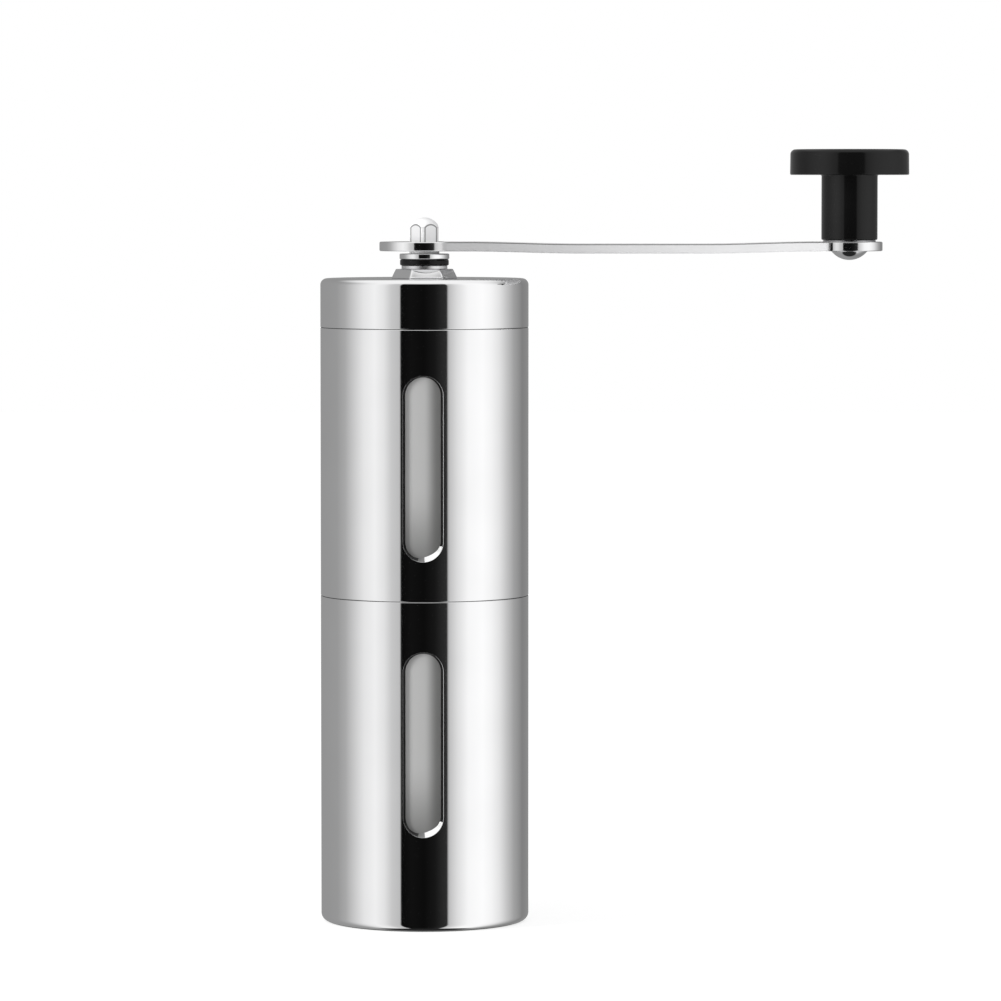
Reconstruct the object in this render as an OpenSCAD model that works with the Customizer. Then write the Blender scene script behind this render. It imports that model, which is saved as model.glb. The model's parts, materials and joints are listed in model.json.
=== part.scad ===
// Hand crank coffee grinder: a slim stainless steel cylinder with two long windows,
// a conical burr mill inside and a flat crank arm on top.
// Millimetres. Origin at the centre of the base, +Z up. The windows face -Y and the
// crank arm points along +X. The model is shown closed, at its finest grind setting.

/* [Body] */
// Outer diameter of the steel cylinder
body_d = 49; // [47:0.5:54]
// Wall thickness of the steel sleeves and of the lid
wall = 1; // [0.8:0.1:1.2]
// Height of the jar, from the base to the middle seam
jar_h = 77; // [72:1:90]
// Height of the mill section, between the two seams
mill_h = 63.2; // [60:0.1:80]
// Height of the lid
lid_h = 11.5; // [11:0.5:16]
// Rounding of the jar's bottom edge
base_round = 1.8; // [1.3:0.1:3]
// Rounding of the lid's top edge
lid_round = 1.5; // [1.3:0.1:3]

/* [Windows] */
// Width of a window at the outer surface
window_w = 9.6; // [8:0.1:12]
// Height of a window at the outer surface
window_h = 43.3; // [30:0.1:46]
// Width of the sloping lip round a window
window_lip = 0.6; // [0.4:0.1:1.2]
// Height of the jar window's centre above the base
jar_window_z = 43.75; // [38:0.05:46]
// Height of the mill window's centre above the middle seam
mill_window_z = 30.9; // [30:0.05:33]

/* [Liners] */
// Wall thickness of the plastic jar liner and hopper
liner_wall = 1.45; // [1.2:0.05:1.6]

/* [Burrs] */
// Outer diameter of the fixed ceramic burr
outer_burr_d = 34; // [33:0.5:35]
// Height of the fixed ceramic burr
outer_burr_h = 12; // [11:0.5:12]
// Gap between the burrs at the rim
burr_gap = 0.25; // [0.15:0.05:0.4]
// Number of teeth on the inner burr
inner_teeth = 14; // [8:1:18]
// Number of teeth on the outer burr
outer_teeth = 18; // [8:1:20]

/* [Shaft] */
// Diameter of the drive shaft
shaft_d = 7; // [6.6:0.1:7.4]
// Width across the two flats that turn the inner burr
shaft_flats = 5.2; // [4.8:0.1:5.6]
// Diameter of the threaded lower end
thread_d = 6; // [5.8:0.1:6]
// Number of flats on the shaft's upper end
drive_sides = 5; // [4, 5, 6]
// Width of the round land left between two flats
drive_land = 0.8; // [0.4:0.1:1.2]
// Height of the shaft above the lid's top face
shaft_rise = 14.3; // [13:0.1:17]

/* [Crank] */
// Distance between the shaft's axis and the knob's axis
arm_reach = 100; // [80:1:130]
// Thickness of the arm
arm_t = 2.2; // [1.6:0.1:2.6]
// How far the middle of the bar is bent down below its two round ends
arm_drop = 0.5; // [0:0.1:1]
// Radius of the arm's round hub end
hub_r = 10.6; // [9:0.1:12]
// Radius of the arm's round knob end
pad_r = 7.8; // [7:0.1:9]
// Width of the bar where it leaves the hub
bar_w_hub = 19.2; // [14:0.2:20]
// Width of the bar where it meets the knob end
bar_w_pad = 12.8; // [10:0.2:13.6]

/* [Knob] */
// Diameter of the knob's stem
stem_d = 13.2; // [13:0.1:16]
// Height of the knob's stem
stem_h = 15.3; // [14:0.1:22]
// Diameter of the knob's disc
disc_d = 28; // [22:0.5:36]
// Thickness of the knob's disc
disc_h = 6; // [5.5:0.1:8]
// Diameter of the rivet that the knob turns on
axle_d = 6; // [5:0.1:6.4]

/* [Hidden] */
$fn = 96;

// Clearances
seam = 0.05;         // between sections and between stacked pieces that move apart
fit = 0.05;          // radial, for running fits and for pieces nested in one another
slip = 0.4;          // radial, for pieces that lift off
cut = 1;             // how far a cutting shape runs past the face it cuts

// Radii of the cylinder's layers
body_r = body_d / 2;
sleeve_ir = body_r - wall;
liner_r = sleeve_ir - fit;
liner_ir = liner_r - liner_wall;
neck_r = liner_ir - slip;

// Heights of the seams
mill_z = jar_h + seam;
lid_z = jar_h + mill_h;
lid_top = lid_z + lid_h;

// Window lip: half width at the sleeve's inner face, and how fast it opens outwards
lip_in = window_w / 2 - window_lip;
lip_y_out = sqrt(body_r * body_r - window_w * window_w / 4);
lip_y_in = sqrt(sleeve_ir * sleeve_ir - lip_in * lip_in);
lip_slope = window_lip / (lip_y_out - lip_y_in);

// Burr chamber
burr_z = jar_h - outer_burr_h - 1;          // underside of the fixed burr
burr_top = burr_z + outer_burr_h;
outer_burr_r = outer_burr_d / 2;
burr_bore_top = outer_burr_r - 4.2;
burr_bore_waist = outer_burr_r - 5.4;
burr_bore_rim = outer_burr_r - 3;
burr_waist_h = 7;
throat_r = burr_bore_top + 0.4;
flange_h = 1.95;                             // housing flange that both sections meet
chamber_z = burr_top + 2;                    // lower edge of the funnel
funnel_top = chamber_z + 7;
rim_w = 1.2;                                 // flat rim round the top of the funnel
housing_r = liner_ir - fit;
funnel_r = housing_r - rim_w;
retainer_h = 0.8;

// Rubber ring in a groove round the neck
neck_groove_z = burr_z + 7;
ring_wire_r = 0.8;
ring_reach = 0.25;                           // how far it stands proud of the neck
neck_ring_r = neck_r + ring_reach - ring_wire_r;

// Screws that hold the retainer under the fixed burr
screw_r = 1;
screw_head_r = 1.9;
screw_head_h = 1.1;
screw_len = 5.5;
screw_circle_r = outer_burr_r + fit + screw_head_r + 0.35;
screw_count = 3;

// Hopper tube, standing on the housing flange
hopper_z = mill_z + flange_h + seam;
hopper_drop = 0.6;                           // its top edge's depth below the lid seam

// Hub that carries the shaft, on three arms across the funnel
hub_z = burr_top + 3;
hub_h = 10;
hub_outer_r = 7.2;
spoke_w = 4;
spoke_h = 5;
spokes = 3;
bush_r = 5;
bush_flange_r = 6.8;
bush_flange_h = 1.2;

// Moving burr and its insert
inner_z = burr_z - 0.7;
inner_top = burr_z + 8.4;
inner_top_r = 8;
inner_rim_h = 1;
driver_r = 5.2;
driver_flange_r = 8;
driver_flange_h = 1;
driver_z = inner_z - driver_flange_h;
burr_taper = (burr_bore_rim - burr_bore_waist) / burr_waist_h;
inner_rim_r = burr_bore_rim - burr_taper * (inner_z + inner_rim_h - burr_z) - burr_gap;

// Grind setting dial
dial_r = 11;
dial_h = 7.7;
dial_z = driver_z - seam - dial_h;
dial_lobes = 10;
dial_scallop_r = 3;
dial_nut_r = 4.6;
dial_floor = 1;

// Shaft stations
shaft_r = shaft_d / 2;
thread_r = thread_d / 2;
shaft_low = dial_z - 2;
thread_top = inner_z;
flats_top = hub_z - 3;
washer_h = 0.8;
washer_r = 6.5;
thrust_z = hub_z + hub_h + bush_flange_h + seam;
collar_z = thrust_z + washer_h + seam;
collar_h = 2;
collar_r = 5.8;
spring_washer_h = 0.7;
spring_washer_z = hub_z - seam - spring_washer_h;

// Coil spring between the hub and the moving burr
spring_wire_r = 0.45;
spring_r = 5.1;
spring_turns = 4;
spring_steps = 24;                           // stations in one turn
spring_sides = 8;
spring_low = inner_top + seam + spring_wire_r;
spring_high = spring_washer_z - seam - spring_wire_r;

// Stack on the lid, from the lid's top face upwards
nut_corner_r = 7.9;
nut_h = 2.2;
nut_top_r = 7.1;
nut_turn = 5.5;
lid_bush_r = 4.5;
ring_h = 0.8;
ring_r = 5.4;
seal_h = 1.5;
seal_r = 5.75;
collar_top_h = 1.3;
collar_top_r = 5.85;
ring_z = lid_top + nut_h;
seal_z = ring_z + ring_h;
lid_collar_z = seal_z + seal_h;
arm_gap = 0.6;
arm_slope = 26;                              // length of the bent stretch next to each end
arm_z = lid_collar_z + collar_top_h + arm_gap;
shaft_top = lid_top + shaft_rise;
shaft_dome_r = shaft_r + 0.25;
drive_turn = -96;

// Lid plug
plug_depth = 6.2;
plug_wall = 1.5;
plug_disc_h = 2.05;
plug_shoulder = 0.1;
lid_bush_flange_r = 8;
lid_bush_flange_h = 1.5;
plug_top = lid_top - wall - seam;
plug_disc_z = plug_top - plug_disc_h;

// Knob
axle_r = axle_d / 2;
knob_washer_h = 0.35;
knob_washer_r = 6.2;
knob_z = arm_z + arm_t + knob_washer_h + seam;
disc_z = knob_z + stem_h;
knob_top = disc_z + disc_h;
disc_round = 1.2;
cap_r = 5.6;
cap_h = 1.4;
pocket_r = 5;
clip_h = 0.7;
clip_z = disc_z - 0.95;
clip_play = 0.15;
groove_r = axle_r - 0.55;
axle_top = clip_z + 1.5;
rivet_r = 4.25;
rivet_h = 2.1;

// ---- Shapes that repeat ----

// A ring standing on z = 0
module ring(outer_r, inner_r, h) {
    difference() {
        cylinder(r = outer_r, h = h);
        translate([0, 0, -cut]) cylinder(r = inner_r, h = h + 2 * cut);
    }
}

// Half section of a can with a rounded bottom edge, standing on y = 0
module can_section(r, h, round) {
    translate([0, round]) square([r, h - round]);
    square([r - round, 2 * round]);
    translate([r - round, round]) circle(r = round);
}

// A cup of even wall with a rounded bottom edge
module cup(r, h, t, round) {
    rotate_extrude() difference() {
        can_section(r, h, round);
        translate([0, t]) can_section(r - t, h, max(round - t, 0.2));
    }
}

// Cutter for a window: round ends, sides that open outwards, centred on height z
module window_cut(z) {
    y_in = lip_y_in - cut;
    y_out = body_r + cut;
    r_in = lip_in - cut * lip_slope;
    r_out = lip_in + (y_out - lip_y_in) * lip_slope;
    r_face = lip_in + (body_r - lip_y_in) * lip_slope;
    half = window_h / 2 - r_face;
    for (end = [-1, 1]) {
        translate([0, -y_in, z + end * half]) rotate([90, 0, 0])
            cylinder(r1 = r_in, r2 = r_out, h = y_out - y_in);
    }
    translate([0, 0, z - half]) linear_extrude(2 * half)
        polygon([[-r_in, -y_in], [-r_out, -y_out], [r_out, -y_out], [r_in, -y_in]]);
}

// The shaft's lower stretch: a round bar with two flats
module flatted(r, across, h) {
    intersection() {
        cylinder(r = r, h = h);
        translate([-r - cut, -across / 2, -cut]) cube([2 * (r + cut), across, h + 2 * cut]);
    }
}

// The shaft's upper end: a round bar with flats, and a narrow land between each two
module drive_end(r, h) {
    land_angle = asin(drive_land / 2 / r);
    flat_r = r * cos(180 / drive_sides - land_angle);
    intersection() {
        cylinder(r = r, h = h);
        rotate([0, 0, drive_turn])
            cylinder(r = flat_r / cos(180 / drive_sides), h = h, $fn = drive_sides);
    }
}

// ---- Jar ----

module jar_sleeve() {
    color("silver") difference() {
        cup(body_r, jar_h, wall, base_round);
        window_cut(jar_window_z);
    }
}

module jar_liner() {
    rim_drop = 0.8;
    color("gainsboro") translate([0, 0, wall + seam])
        cup(liner_r, jar_h - rim_drop - wall - seam, liner_wall, base_round);
}

// ---- Mill section ----

module mill_sleeve() {
    color("silver") difference() {
        translate([0, 0, mill_z]) ring(body_r, sleeve_ir, lid_z - seam - mill_z);
        window_cut(jar_h + mill_window_z);
    }
}

module hopper() {
    color("gainsboro") translate([0, 0, hopper_z])
        ring(liner_r, liner_ir, lid_z - hopper_drop - hopper_z);
}

module burr_housing() {
    recess_r = outer_burr_r + fit;
    groove_h = 2 * ring_wire_r + 2 * fit;
    screw_hole_r = screw_r + fit;
    color("dimgray") difference() {
        union() {
            rotate_extrude() polygon([
                [recess_r, burr_z], [neck_r, burr_z], [neck_r, mill_z], [liner_r, mill_z],
                [liner_r, mill_z + flange_h], [housing_r, mill_z + flange_h],
                [housing_r, funnel_top], [funnel_r, funnel_top],
                [throat_r, chamber_z], [throat_r, burr_top + fit], [recess_r, burr_top + fit]]);
            translate([0, 0, hub_z]) cylinder(r = hub_outer_r, h = hub_h);
            for (i = [0 : spokes - 1]) rotate([0, 0, 90 + i * 360 / spokes])
                translate([0, -spoke_w / 2, hub_z])
                    cube([funnel_r - rim_w / 2, spoke_w, spoke_h]);
        }
        translate([0, 0, hub_z - cut]) cylinder(r = bush_r + fit, h = hub_h + 2 * cut);
        translate([0, 0, neck_groove_z - groove_h / 2])
            ring(neck_r + cut, neck_ring_r - ring_wire_r - fit, groove_h);
        screw_places() translate([0, 0, burr_z - cut])
            cylinder(r = screw_hole_r, h = screw_len + cut + fit);
    }
}

module neck_ring() {
    color("black") rotate_extrude()
        translate([neck_ring_r, neck_groove_z]) circle(r = ring_wire_r);
}

module screw_places() {
    for (i = [0 : screw_count - 1]) rotate([0, 0, 30 + i * 360 / screw_count])
        translate([screw_circle_r, 0, 0]) children();
}

module burr_retainer() {
    retainer_r = neck_r - 0.2;
    color("silver") difference() {
        translate([0, 0, burr_z - retainer_h])
            ring(retainer_r, burr_bore_rim + 1, retainer_h);
        screw_places() translate([0, 0, burr_z - retainer_h - cut])
            cylinder(r = screw_r + fit, h = retainer_h + 2 * cut);
    }
}

module burr_screws() {
    slot_w = 0.6;
    slot_depth = 0.5;
    color("silver") screw_places() translate([0, 0, burr_z - retainer_h]) {
        cylinder(r = screw_r, h = retainer_h + screw_len);
        difference() {
            translate([0, 0, -screw_head_h]) cylinder(r = screw_head_r, h = screw_head_h);
            translate([-screw_head_r - cut, -slot_w / 2, -screw_head_h - cut])
                cube([2 * (screw_head_r + cut), slot_w, cut + slot_depth]);
        }
    }
}

module shaft_bush() {
    color("goldenrod") difference() {
        translate([0, 0, hub_z]) union() {
            cylinder(r = bush_r, h = hub_h);
            translate([0, 0, hub_h]) cylinder(r = bush_flange_r, h = bush_flange_h);
        }
        translate([0, 0, hub_z - cut])
            cylinder(r = shaft_r + fit, h = hub_h + bush_flange_h + 2 * cut);
    }
}

// ---- Burrs ----

// A row of slanting V grooves along a cone: they start at radius r on height z
module tooth_grooves(count, r, z, lean, skew, size, length) {
    for (i = [0 : count - 1]) rotate([0, 0, i * 360 / count]) translate([r, 0, z])
        rotate([0, lean, 0]) rotate([skew, 0, 0]) translate([0, 0, -cut])
            cylinder(r = size, h = length, $fn = 4);
}

module outer_burr() {
    groove = 0.8;
    lean = -atan(burr_taper);
    skew = 22;
    color("ivory") difference() {
        rotate_extrude() polygon([
            [burr_bore_rim, burr_z], [outer_burr_r, burr_z], [outer_burr_r, burr_top],
            [burr_bore_top, burr_top], [burr_bore_waist, burr_z + burr_waist_h]]);
        tooth_grooves(outer_teeth, burr_bore_rim, burr_z, lean, skew, groove, burr_waist_h + cut);
    }
}

module inner_burr() {
    groove = 1.1;
    shoulder_r = inner_rim_r - 1.6;
    shoulder_z = inner_z + 5;
    lean = -atan((shoulder_r - inner_top_r) / (inner_top - shoulder_z));
    skew = -18;
    color("ivory") difference() {
        rotate_extrude() polygon([
            [0, inner_z], [inner_rim_r, inner_z], [inner_rim_r, inner_z + inner_rim_h],
            [shoulder_r, shoulder_z], [inner_top_r, inner_top], [0, inner_top]]);
        translate([0, 0, inner_z - cut])
            cylinder(r = driver_r + fit, h = inner_top - inner_z + 2 * cut, $fn = 6);
        tooth_grooves(inner_teeth, shoulder_r + 0.6, shoulder_z - 2, lean, skew, groove, 10);
    }
}

module burr_driver() {
    color("gray") difference() {
        union() {
            translate([0, 0, inner_z]) cylinder(r = driver_r, h = inner_top - inner_z, $fn = 6);
            translate([0, 0, driver_z]) cylinder(r = driver_flange_r, h = driver_flange_h);
        }
        translate([0, 0, driver_z - cut])
            flatted(shaft_r + fit, shaft_flats + 2 * fit, inner_top - driver_z + 2 * cut);
    }
}

// ---- Grind setting ----

module adjust_dial() {
    color("black") difference() {
        translate([0, 0, dial_z]) cylinder(r = dial_r, h = dial_h);
        for (i = [0 : dial_lobes - 1]) rotate([0, 0, i * 360 / dial_lobes])
            translate([dial_r + dial_scallop_r * 0.6, 0, dial_z - cut])
                cylinder(r = dial_scallop_r, h = dial_h + 2 * cut);
        translate([0, 0, dial_z + dial_floor])
            cylinder(r = dial_nut_r + fit, h = dial_h, $fn = 6);
        translate([0, 0, dial_z - cut]) cylinder(r = thread_r + slip, h = dial_h);
    }
}

module dial_nut() {
    h = dial_h - dial_floor;
    color("goldenrod") translate([0, 0, dial_z + dial_floor]) difference() {
        cylinder(r = dial_nut_r, h = h, $fn = 6);
        translate([0, 0, -cut]) cylinder(r = thread_r + fit, h = h + 2 * cut);
    }
}

// ---- Drive shaft ----

module drive_shaft() {
    color("silver") {
        translate([0, 0, shaft_low]) flatted(thread_r, shaft_flats, thread_top - shaft_low);
        translate([0, 0, thread_top]) flatted(shaft_r, shaft_flats, flats_top - thread_top);
        translate([0, 0, flats_top]) cylinder(r = shaft_r, h = arm_z - flats_top);
        translate([0, 0, collar_z]) cylinder(r = collar_r, h = collar_h);
        intersection() {
            translate([0, 0, arm_z]) drive_end(shaft_r, shaft_top - arm_z);
            translate([0, 0, shaft_top - shaft_dome_r]) union() {
                sphere(r = shaft_dome_r);
                mirror([0, 0, 1]) cylinder(r = shaft_dome_r, h = shaft_top);
            }
        }
    }
}

module thrust_washer() {
    color("silver") translate([0, 0, thrust_z]) ring(washer_r, shaft_r + fit, washer_h);
}

module spring_washer() {
    color("silver") translate([0, 0, spring_washer_z])
        ring(washer_r, shaft_r + fit, spring_washer_h);
}

// A point on the spring's wire: station along the helix, side round the wire
function spring_point(station, side, last) =
    let (turn = 360 * station / spring_steps,
         face = 360 * side / spring_sides,
         reach = spring_r + spring_wire_r * cos(face))
    [reach * cos(turn), reach * sin(turn),
     spring_low + (spring_high - spring_low) * station / last + spring_wire_r * sin(face)];

module spring() {
    last = spring_turns * spring_steps;
    n = spring_sides;
    points = [for (k = [0 : last]) for (s = [0 : n - 1]) spring_point(k, s, last)];
    sides = [for (k = [0 : last - 1]) for (s = [0 : n - 1])
        [k * n + s, (k + 1) * n + s, (k + 1) * n + (s + 1) % n, k * n + (s + 1) % n]];
    caps = [[for (s = [0 : n - 1]) s], [for (s = [n - 1 : -1 : 0]) last * n + s]];
    color("silver") polyhedron(points, concat(sides, caps), convexity = 8);
}

// ---- Lid ----

module lid_shell() {
    color("silver") difference() {
        translate([0, 0, lid_top]) mirror([0, 0, 1]) cup(body_r, lid_h, wall, lid_round);
        translate([0, 0, lid_top - wall - cut])
            cylinder(r = lid_bush_r + fit, h = wall + 2 * cut);
    }
}

module lid_insert() {
    bevel = 0.6;
    shoulder_z = lid_z + plug_shoulder;
    plug_z = lid_z - plug_depth;
    color("dimgray") rotate_extrude() polygon([
        [lid_bush_r + fit, plug_top], [liner_r - bevel, plug_top], [liner_r, plug_top - bevel],
        [liner_r, shoulder_z], [neck_r, shoulder_z], [neck_r, plug_z],
        [neck_r - plug_wall, plug_z], [neck_r - plug_wall, plug_disc_z],
        [lid_bush_r + fit, plug_disc_z]]);
}

module lid_bush() {
    bush_z = plug_disc_z - lid_bush_flange_h;
    color("silver") translate([0, 0, bush_z]) difference() {
        union() {
            cylinder(r = lid_bush_r, h = lid_collar_z - bush_z);
            cylinder(r = lid_bush_flange_r, h = lid_bush_flange_h);
        }
        translate([0, 0, -cut]) cylinder(r = shaft_r + fit, h = lid_collar_z - bush_z + 2 * cut);
    }
}

module lid_nut() {
    color("silver") translate([0, 0, lid_top]) difference() {
        intersection() {
            rotate([0, 0, nut_turn]) cylinder(r = nut_corner_r, h = nut_h, $fn = 6);
            cylinder(r1 = nut_corner_r + nut_h / 2, r2 = nut_top_r, h = nut_h);
        }
        translate([0, 0, -cut]) cylinder(r = lid_bush_r + fit, h = nut_h + 2 * cut);
    }
}

module lid_washer() {
    color("gainsboro") translate([0, 0, ring_z]) ring(ring_r, lid_bush_r + fit, ring_h);
}

module seal_ring() {
    lip = 0.4;
    inner = lid_bush_r + fit;
    color("black") rotate_extrude() translate([0, seal_z]) {
        translate([inner, 0]) square([seal_r - inner - lip, seal_h]);
        translate([seal_r - 2 * lip, lip]) square([2 * lip, seal_h - 2 * lip]);
        for (z = [lip, seal_h - lip]) translate([seal_r - lip, z]) circle(r = lip);
    }
}

module bush_collar() {
    color("silver") translate([0, 0, lid_collar_z])
        ring(collar_top_r, shaft_r + 2 * fit, collar_top_h);
}

// ---- Crank ----

// The arm from above: two round ends and a bar that narrows towards the knob
module arm_outline() {
    circle(r = hub_r);
    translate([arm_reach, 0]) circle(r = pad_r);
    polygon([[0, -bar_w_hub / 2], [arm_reach, -bar_w_pad / 2],
             [arm_reach, bar_w_pad / 2], [0, bar_w_hub / 2]]);
}

// The arm from the side: the plate's underside, and its top face one thickness higher
module arm_side() {
    pad_start = arm_reach - pad_r;
    under = [[-hub_r - cut, 0], [hub_r, 0], [hub_r + arm_slope, -arm_drop],
             [pad_start - arm_slope, -arm_drop], [pad_start, 0], [arm_reach + pad_r + cut, 0]];
    top = [for (i = [len(under) - 1 : -1 : 0]) under[i] + [0, arm_t]];
    polygon(concat(under, top));
}

module crank_arm() {
    color("silver") translate([0, 0, arm_z]) difference() {
        intersection() {
            translate([0, 0, -arm_drop - cut]) linear_extrude(arm_t + arm_drop + 2 * cut)
                arm_outline();
            translate([0, hub_r + cut, 0]) rotate([90, 0, 0])
                linear_extrude(2 * (hub_r + cut)) arm_side();
        }
        translate([0, 0, -cut]) drive_end(shaft_r + fit, arm_t + 2 * cut);
        translate([arm_reach, 0, -cut]) cylinder(r = axle_r + fit / 2, h = arm_t + 2 * cut);
    }
}

module knob_axle() {
    dome_r = (rivet_r * rivet_r + rivet_h * rivet_h) / (2 * rivet_h);
    groove_h = clip_h + 2 * seam;
    color("silver") translate([arm_reach, 0, 0]) {
        difference() {
            translate([0, 0, arm_z]) cylinder(r = axle_r, h = axle_top - arm_z);
            translate([0, 0, clip_z - seam]) ring(axle_r + cut, groove_r, groove_h);
        }
        intersection() {
            translate([0, 0, arm_z - rivet_h + dome_r]) sphere(r = dome_r);
            translate([0, 0, arm_z - rivet_h]) cylinder(r = rivet_r + cut, h = rivet_h);
        }
    }
}

module knob_washer() {
    color("gainsboro") translate([arm_reach, 0, arm_z + arm_t])
        ring(knob_washer_r, axle_r + fit, knob_washer_h);
}

module knob_clip() {
    clip_r = pocket_r - 0.4;
    gap = 2.4;
    color("gray") translate([arm_reach, 0, clip_z]) difference() {
        ring(clip_r, groove_r + fit, clip_h);
        translate([0, -gap / 2, -cut]) cube([clip_r + cut, gap, clip_h + 2 * cut]);
    }
}

module knob_body() {
    pocket_z = clip_z - clip_play;
    color("black") translate([arm_reach, 0, 0]) difference() {
        union() {
            translate([0, 0, knob_z]) cylinder(r = stem_d / 2, h = stem_h + cut);
            translate([0, 0, knob_top]) mirror([0, 0, 1]) rotate_extrude()
                can_section(disc_d / 2, disc_h, disc_round);
        }
        translate([0, 0, knob_z - cut]) cylinder(r = axle_r + fit, h = stem_h + disc_h);
        translate([0, 0, pocket_z]) cylinder(r = pocket_r, h = knob_top - pocket_z + cut);
        translate([0, 0, knob_top - cap_h]) cylinder(r = cap_r + fit, h = cap_h + cut);
    }
}

module knob_cap() {
    color("black") translate([arm_reach, 0, knob_top - cap_h]) cylinder(r = cap_r, h = cap_h);
}

jar_sleeve();
jar_liner();
mill_sleeve();
hopper();
burr_housing();
neck_ring();
outer_burr();
burr_retainer();
burr_screws();
shaft_bush();
lid_shell();
lid_insert();
lid_bush();
lid_nut();
lid_washer();
seal_ring();
bush_collar();
drive_shaft();
thrust_washer();
spring();
spring_washer();
inner_burr();
burr_driver();
adjust_dial();
dial_nut();
crank_arm();
knob_axle();
knob_washer();
knob_clip();
knob_body();
knob_cap();
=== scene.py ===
import json
import math

import bpy
import bmesh
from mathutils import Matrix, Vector
from mathutils.geometry import tessellate_polygon


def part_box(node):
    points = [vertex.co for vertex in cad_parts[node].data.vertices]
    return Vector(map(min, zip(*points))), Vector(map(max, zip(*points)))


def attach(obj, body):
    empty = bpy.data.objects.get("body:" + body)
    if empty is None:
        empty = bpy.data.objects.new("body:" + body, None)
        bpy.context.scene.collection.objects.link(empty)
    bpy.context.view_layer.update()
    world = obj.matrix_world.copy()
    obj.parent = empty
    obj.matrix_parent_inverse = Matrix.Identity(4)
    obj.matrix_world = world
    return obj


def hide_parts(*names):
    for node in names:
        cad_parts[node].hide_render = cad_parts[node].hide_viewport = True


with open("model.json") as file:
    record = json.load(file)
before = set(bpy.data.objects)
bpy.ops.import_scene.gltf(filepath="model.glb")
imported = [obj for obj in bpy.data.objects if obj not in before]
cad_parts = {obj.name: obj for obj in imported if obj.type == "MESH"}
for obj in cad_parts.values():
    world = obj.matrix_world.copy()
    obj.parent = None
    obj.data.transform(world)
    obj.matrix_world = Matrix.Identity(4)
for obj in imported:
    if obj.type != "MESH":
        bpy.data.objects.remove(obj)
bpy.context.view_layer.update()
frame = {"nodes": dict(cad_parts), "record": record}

MM = 0.001
CLOSE = 0.0001 * MM      # places nearer than this are the same
FULL_TURN = 2 * math.pi


def place(name, data):
    """A new object in the scene, at the origin."""
    thing = bpy.data.objects.new(name, data)
    bpy.context.scene.collection.objects.link(thing)
    return thing


def point_at(thing, target):
    """Turns a camera or a light towards a point."""
    aim = target - thing.location
    thing.rotation_euler = aim.to_track_quat("-Z", "Y").to_euler()


# ---- camera

LENS = 200               # a long lens: the photographer stood well back
SENSOR = 36
CAMERA_DISTANCE = 1.31
CAMERA_HEIGHT = 0.1724   # a little below the knob's disc, looking slightly down
AIM_X = 0.0179
AIM_Z = 0.0993


def make_camera():
    """A long-lens camera square on to the windows, a little above the lid."""
    data = bpy.data.cameras.new("camera")
    data.lens = LENS
    data.sensor_width = SENSOR
    data.clip_start = 0.05
    data.clip_end = 50
    camera = place("camera", data)
    camera.location = (AIM_X, -CAMERA_DISTANCE, CAMERA_HEIGHT)
    point_at(camera, Vector((AIM_X, 0, AIM_Z)))
    bpy.context.scene.camera = camera


# ---- sizes read from the frame


def radius_of(node):
    """Half the width of a round node."""
    low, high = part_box(node)
    return (high.y - low.y) / 2


def heights_of(node):
    low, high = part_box(node)
    return low.z, high.z


BODY_R = radius_of("jar_sleeve")
JAR_LOW, JAR_TOP = heights_of("jar_sleeve")
MILL_LOW, MILL_TOP = heights_of("mill_sleeve")
LID_LOW, LID_TOP = heights_of("lid_shell")
LINER_R = radius_of("jar_liner")
WALL = 1.0 * MM
LINER_WALL = 1.45 * MM
SHAFT_R = 3.5 * MM
FIT = 0.05 * MM          # radial play between pieces that turn or nest in one another
STEM_BORE_R = 3.05 * MM
KNOB_LOW, KNOB_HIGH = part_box("knob_body")
KNOB_X = (KNOB_LOW.x + KNOB_HIGH.x) / 2
ARM_LOW, ARM_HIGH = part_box("crank_arm")
HUB_R = -ARM_LOW.x       # the arm's round hub end
PAD_R = ARM_HIGH.x - KNOB_X      # and its round knob end
BODY_OF = {node: body for body, nodes in frame["record"]["behaviour"]["bodies"].items()
           for node in nodes}
SLOT_OF = {part["node"]: part["material_slot"] for part in frame["record"]["subparts"]}

# ---- surfaces with exact normals

ARC_STEPS = 8            # faces across a rounded edge
ROUND_STEPS = 192        # faces round the cylinder


class Surface:
    """A mesh in the making: points, faces, and the true normal at each corner of each face."""

    def __init__(self):
        self.points = []
        self.faces = []
        self.normals = []
        self.finishes = []   # which of the piece's materials each face has
        self.finish = 0

    def add(self, point):
        self.points.append(Vector(point))
        return len(self.points) - 1

    def face(self, corners, normals):
        """Adds a face, turned so that it faces the way its normals point."""
        merged = [(c, n) for k, (c, n) in enumerate(zip(corners, normals)) if c != corners[k - 1]]
        if len(merged) < 3:
            return
        facing = Vector((0, 0, 0))
        for k in range(len(merged)):
            a, b = self.points[merged[k - 1][0]], self.points[merged[k][0]]
            facing += a.cross(b)
        if facing.dot(sum((n for _, n in merged), Vector((0, 0, 0)))) < 0:
            merged.reverse()
        self.faces.append([c for c, _ in merged])
        self.finishes.append(self.finish)
        self.normals.extend(n.normalized() for _, n in merged)

    def build(self, name, *materials):
        mesh = bpy.data.meshes.new(name)
        mesh.from_pydata(self.points, [], self.faces)
        mesh.polygons.foreach_set("use_smooth", [True] * len(self.faces))
        mesh.normals_split_custom_set(self.normals)
        for material in materials:
            mesh.materials.append(material)
        mesh.polygons.foreach_set("material_index", self.finishes)
        return place(name, mesh)


def stand_for(piece, node):
    """A finished piece takes a CAD node's place: it joins the node's body, and the node is hidden.
    """
    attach(piece, BODY_OF[node])
    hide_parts(node)
    return piece


def outward(along):
    """The normal on the right of a direction in a half section."""
    return Vector((along.y, -along.x))


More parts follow.
